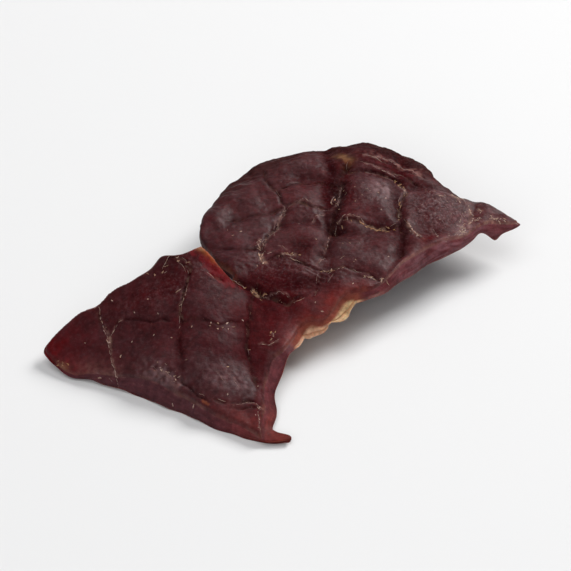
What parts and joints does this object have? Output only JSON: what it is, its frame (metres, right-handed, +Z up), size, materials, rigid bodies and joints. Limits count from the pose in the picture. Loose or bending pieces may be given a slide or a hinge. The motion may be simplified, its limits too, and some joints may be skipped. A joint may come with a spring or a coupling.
{
  "type": "dry-cured lamb slice",
  "caption": "Stiff, warped slice of dry-cured lamb with a rack print on its top, a cut front edge with a fat seam and a back that curls down.",
  "frame": {"origin": "centre of the bounding box in plan, at the height of the lowest point", "axes": "+X along the slice from its left tip to its right tip, +Y away from the cut front edge, +Z up"},
  "size_m": [0.084, 0.0734, 0.0162],
  "materials": {
    "dried_meat": "dark purple-brown dried meat, leathery, with a soft greasy sheen"
  },
  "bodies": {
    "root": {"lamb_slice": "dried_meat"}
  },
  "joints": []
}
